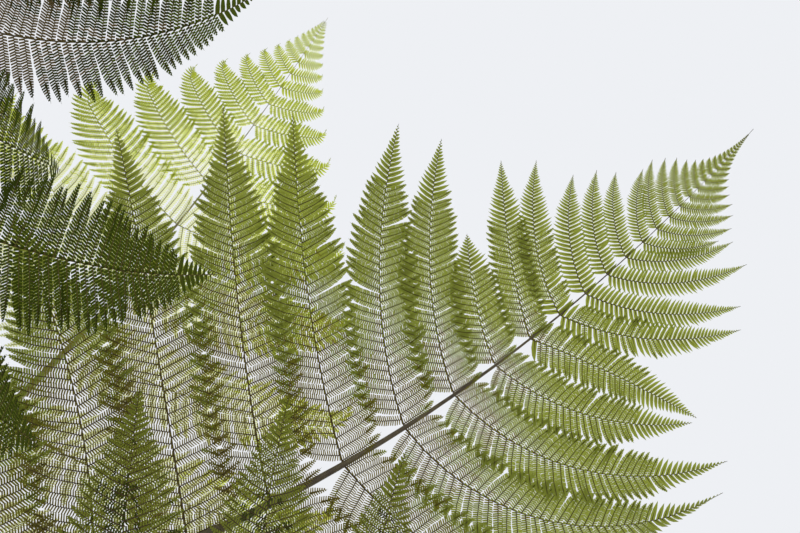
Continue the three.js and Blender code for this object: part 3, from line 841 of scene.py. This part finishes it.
class Finish:
    """A material whose nodes all come from one method."""

    def __init__(self, name):
        self.material = bpy.data.materials.new(name)
        self.material.use_nodes = True
        self.tree = self.material.node_tree
        self.tree.nodes.clear()

    def node(self, kind, settings=None, inputs=None, output=0):
        made = self.tree.nodes.new(kind)
        for key, value in (settings or {}).items():
            setattr(made, key, value)
        for key, value in (inputs or {}).items():
            if isinstance(value, Wire):
                self.tree.links.new(value.socket, made.inputs[key])
            else:
                made.inputs[key].default_value = value
        return Wire(self, made.outputs[output])

    def noise(self, place, scale, detail):
        return self.node("ShaderNodeTexNoise", None, {"Vector": place, "Scale": scale, "Detail": detail})

    def bump(self, strength, distance, height):
        inputs = {"Strength": strength, "Distance": distance, "Height": height}
        return self.node("ShaderNodeBump", None, inputs)

    def blend(self, share, first, second):
        """A colour between two colours."""
        picked = [colour if isinstance(colour, Wire) else opaque(colour) for colour in (first, second)]
        inputs = {MIX_SHARE: share, MIX_FIRST_COLOUR: picked[0], MIX_SECOND_COLOUR: picked[1]}
        return self.node("ShaderNodeMix", {"data_type": "RGBA"}, inputs, MIXED_COLOUR)

    def surface(self, shader):
        end = self.tree.nodes.new("ShaderNodeOutputMaterial")
        self.tree.links.new(shader.socket, end.inputs["Surface"])
        return self.material


def leaf_material(name):
    """A leaf's skin, which lets part of the light through. A rib's lets none through."""
    colour, through = LEAF_SHADES[name]
    finish = Finish(name)
    face = finish.node("ShaderNodeBsdfPrincipled", None, {
        "Base Color": opaque(colour), "Roughness": LEAF_ROUGHNESS, "Specular IOR Level": LEAF_SHINE,
    })
    if through == 0:
        return finish.surface(face)
    lit = finish.node("ShaderNodeBsdfTranslucent", None, {"Color": opaque(colour)})
    parts = {MIX_SHARE: through, FIRST_SHADER: face, SECOND_SHADER: lit}
    return finish.surface(finish.node("ShaderNodeMixShader", None, parts))


def stalk_material(name, colours):
    """A stalk's skin: streaks over broad patches, from its dark colour to its light one."""
    finish = Finish(name)
    place = finish.node("ShaderNodeTexCoord", output=OBJECT_PLACE)
    streaks = finish.noise(place, scale=60.0, detail=4.0)
    patches = finish.noise(place, scale=9.0, detail=3.0)
    wear = (streaks * STREAKS_IN_WEAR + patches * PATCHES_IN_WEAR).lifted(low=0.35, steepness=3.0)
    face = finish.node("ShaderNodeBsdfPrincipled", None, {
        "Base Color": finish.blend(wear, *colours), "Roughness": STALK_ROUGHNESS,
        "Normal": finish.bump(strength=0.35, distance=0.002, height=streaks),
    })
    return finish.surface(face)


def bark_material():
    """The trunk's bark: brown fibres that run up it, with grey patches of fine grain."""
    finish = Finish("trunk_bark")
    place = finish.node("ShaderNodeTexCoord", output=OBJECT_PLACE)
    stretched = finish.node("ShaderNodeMapping", None, {"Vector": place, "Scale": FIBRE_STRETCH})
    fibres = finish.noise(stretched, scale=140.0, detail=6.0)
    patches = finish.noise(place, scale=7.0, detail=4.0)
    grains = finish.noise(place, scale=220.0, detail=3.0)
    brown = finish.blend(fibres.lifted(low=0.38, steepness=3.2), *BARK_BROWN)
    grey = finish.blend(grains.lifted(low=0.35, steepness=2.5), *BARK_GREY)
    greyness = patches.lifted(low=0.52, steepness=5.0) * GREY_AT_MOST
    relief = fibres * FIBRES_IN_RELIEF + grains * GRAINS_IN_RELIEF
    face = finish.node("ShaderNodeBsdfPrincipled", None, {
        "Base Color": finish.blend(greyness, brown, grey), "Roughness": BARK_ROUGHNESS,
        "Normal": finish.bump(strength=0.8, distance=0.006, height=relief),
    })
    return finish.surface(face)


def place_piece(name, mesh, replaced):
    """Puts a mesh in the scene as a piece of the plant, in place of the solids that it replaces."""
    piece = bpy.data.objects.new(name, mesh)
    bpy.context.scene.collection.objects.link(piece)
    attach(piece, "root")
    if replaced:
        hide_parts(*replaced)


def place_rings(name, rings, material, replaced=()):
    """A closed smooth skin over rings of corners: (rings, corners around, 3)."""
    count, around = rings.shape[:2]
    faces = []
    for low in range(0, (count - 1) * around, around):
        for i in range(around):
            j = (i + 1) % around
            faces.append((low + i, low + j, low + around + j, low + around + i))
    faces.append(tuple(reversed(range(around))))
    faces.append(tuple(range((count - 1) * around, count * around)))
    mesh = bpy.data.meshes.new(name)
    mesh.from_pydata(rings.reshape(-1, 3).tolist(), [], faces)
    mesh.materials.append(material)
    mesh.shade_smooth()
    place_piece(name, mesh, replaced)


def dress_stalk(frond, material):
    """A frond's stalk and midrib: a round stem that tapers to the frond's tip."""
    stem = np.linspace(frond["length"], STALK_RINGS_UNTIL, STALK_RINGS)
    tip = np.linspace(STALK_TIP_RINGS_FROM, 0.0, STALK_TIP_RINGS)
    distance = np.concatenate((stem, tip))
    points, along, side = rib_at(frond, distance)
    above = np.cross(along, side)
    radii = np.minimum(STALK_TIP_RADIUS + STALK_RADIUS_GROWS * distance ** STALK_RADIUS_POWER, STALK_WIDEST)
    turns = (2 * math.pi * np.arange(STALK_SIDES) / STALK_SIDES)[:, None]
    out = side[:, None] * np.cos(turns) + above[:, None] * np.sin(turns)
    rings = points[:, None] + out * radii[:, None, None]
    place_rings(frond["name"] + "_stalk", rings, material)


def dress_frond(frond, leaf_looks, stalk_looks):
    """A frond's leaflets as one piece in place of its two solids, and its stalk as another."""
    dice = np.random.default_rng(FIRST_SEED + frond["number"])
    cut = CUTS[frond["cut"]]
    slot = "young_frond" if frond["cut"] == "young" else "frond"
    shades = [*dict.fromkeys(cut["shades"]), cut["rib"]]
    rib_shade = len(shades) - 1
    foliage = Foliage()
    lines = leaflets_of(frond)
    sides = side_leaflets(frond, cut, lines, dice)
    tracks = side_tracks(sides, dice)
    plain = sides["length"] < cut["plain_below"]
    grow_plain(foliage, *chosen(sides, tracks, plain), cut, dice, rib_shade)
    grow_toothed(foliage, *chosen(sides, tracks, ~plain), cut, dice, rib_shade)
    grow_ribs(foliage, lines, rib_shade)
    mesh = foliage.mesh(frond["name"] + "_leaflets")
    for shade in shades:
        mesh.materials.append(leaf_looks[shade])
    place_piece(mesh.name, mesh, (frond["name"] + "_inner", frond["name"] + "_outer"))
    dress_stalk(frond, stalk_looks[slot])


def trunk_middle(height):
    """The trunk's middle at a height: it leans a little, and straightens as it rises."""
    share = np.power(np.maximum(height, 0) / CROWN[2], LEAN_POWER)
    return np.stack((CROWN[0] * share, CROWN[1] * share, height), axis=-1)


def bark_ridges(level, angle):
    """Broken ridges and finer fibres that wind up the trunk."""
    winding = RIDGE_WINDING * np.sin(level * RIDGE_WAVES_UP)
    breaks = np.sin(angle * BREAKS_AROUND - level * BREAKS_UP)
    ridges = RIDGE_DEPTH * np.sin(angle * RIDGES_AROUND + winding) * breaks
    winding = FIBRE_WINDING * np.sin(level * FIBRE_WAVES_UP + angle * FIBRE_WAVES_AROUND)
    return ridges + FIBRE_DEPTH * np.sin(angle * FIBRES_AROUND + winding)


def leaf_scars(level, angle):
    """Raised ovals where old stalks were, each in a shallow groove."""
    scars = np.zeros_like(level)
    for number in range(int((SCAR_HIGHEST - SCAR_LOWEST) / SCAR_RISE) + 1):
        middle = SCAR_LOWEST + number * SCAR_RISE
        across = (angle - number * math.radians(SCAR_TURN) + math.pi) % (2 * math.pi) - math.pi
        sideways = across * SCAR_TRUNK_RADIUS / SCAR_HALF_WIDTH
        upwards = (level - middle) / SCAR_HALF_HEIGHT
        out = sideways ** 2 + upwards ** 2
        raised = np.where(out < 1, 1 - out, 0)
        scars += raised - GROOVE_DEPTH * np.exp(-((out - GROOVE_AT) / GROOVE_WIDTH) ** 2)
    return scars


def dress_trunk(material):
    """The trunk's bark: fibrous ridges at the foot, and rows of worn leaf scars above."""
    profile_heights, profile_radii = zip(*TRUNK_PROFILE)
    heights = np.linspace(0, profile_heights[-1], TRUNK_RINGS)
    radii = np.interp(heights, profile_heights, profile_radii)
    turns = np.arange(TRUNK_SIDES) * 2 * math.pi / TRUNK_SIDES
    level, angle = np.meshgrid(heights, turns, indexing="ij")
    flare = np.maximum(0, 1 - level / FLARE_HEIGHT)
    lobes = 1 + FLARE_DEPTH * flare * np.cos(FLARE_LOBES * angle)
    scarred = np.clip((level - SCARS_FROM) / SCARS_FADE_IN, 0, 1)
    ridges = bark_ridges(level, angle) * (RIDGES_AT_FOOT - scarred)
    reach = radii[:, None] * lobes + ridges + SCAR_DEPTH * leaf_scars(level, angle) * scarred
    reach[-1] = TRUNK_TIP_RADIUS
    middle = trunk_middle(heights)[:, None]
    x = middle[..., 0] + reach * np.sin(angle)
    y = middle[..., 1] - reach * np.cos(angle)
    place_rings("trunk_bark", np.stack((x, y, level), axis=-1), material, ("trunk",))


def make_camera():
    aim = CAMERA_AIM.normalized()
    right = (CAMERA_RIGHT - aim * aim.dot(CAMERA_RIGHT)).normalized()
    up = right.cross(aim)
    data = bpy.data.cameras.new("camera")
    data.lens = CAMERA_LENS
    data.sensor_width = CAMERA_SENSOR
    data.clip_start = CAMERA_NEAREST
    camera = bpy.data.objects.new("camera", data)
    bpy.context.scene.collection.objects.link(camera)
    turned = Matrix((right, up, -aim)).transposed()
    camera.matrix_world = Matrix.Translation(CAMERA_PLACE) @ turned.to_4x4()
    bpy.context.scene.camera = camera


def make_sky():
    sky = bpy.data.worlds.new("studio")
    sky.use_nodes = True
    back = sky.node_tree.nodes["Background"]
    back.inputs["Color"].default_value = opaque(SKY_COLOUR)
    back.inputs["Strength"].default_value = 1.0
    bpy.context.scene.world = sky
    bpy.context.scene.view_settings.view_transform = "Standard"


def make_lamp():
    lamp = bpy.data.lights.new("key", "AREA")
    lamp.energy = LAMP_POWER
    lamp.size = LAMP_SIZE
    key = bpy.data.objects.new("key", lamp)
    key.location = LAMP_PLACE
    key.rotation_mode = "QUATERNION"
    key.rotation_quaternion = LAMP_AIM.to_track_quat("-Z", "Y")
    bpy.context.scene.collection.objects.link(key)


def make_floor():
    finish = Finish("pale_floor")
    look = {"Base Color": opaque(FLOOR_COLOUR), "Roughness": FLOOR_ROUGHNESS}
    face = finish.node("ShaderNodeBsdfPrincipled", None, look)
    corners = [(x * FLOOR_REACH, y * FLOOR_REACH, 0) for x, y in ((-1, -1), (1, -1), (1, 1), (-1, 1))]
    mesh = bpy.data.meshes.new("floor")
    mesh.from_pydata(corners, [], [(0, 1, 2, 3)])
    mesh.materials.append(finish.surface(face))
    floor = bpy.data.objects.new("floor", mesh)
    bpy.context.scene.collection.objects.link(floor)


make_camera()
make_sky()
make_lamp()
make_floor()
leaf_materials = {name: leaf_material(name) for name in LEAF_SHADES}
stalk_materials = {
    "frond": stalk_material("stalk_skin", STALK_SKIN),
    "young_frond": stalk_material("young_stalk_skin", YOUNG_STALK_SKIN),
}
for row_number, row in enumerate(FRONDS):
    dress_frond(complete_frond(row, row_number), leaf_materials, stalk_materials)
dress_trunk(bark_material())
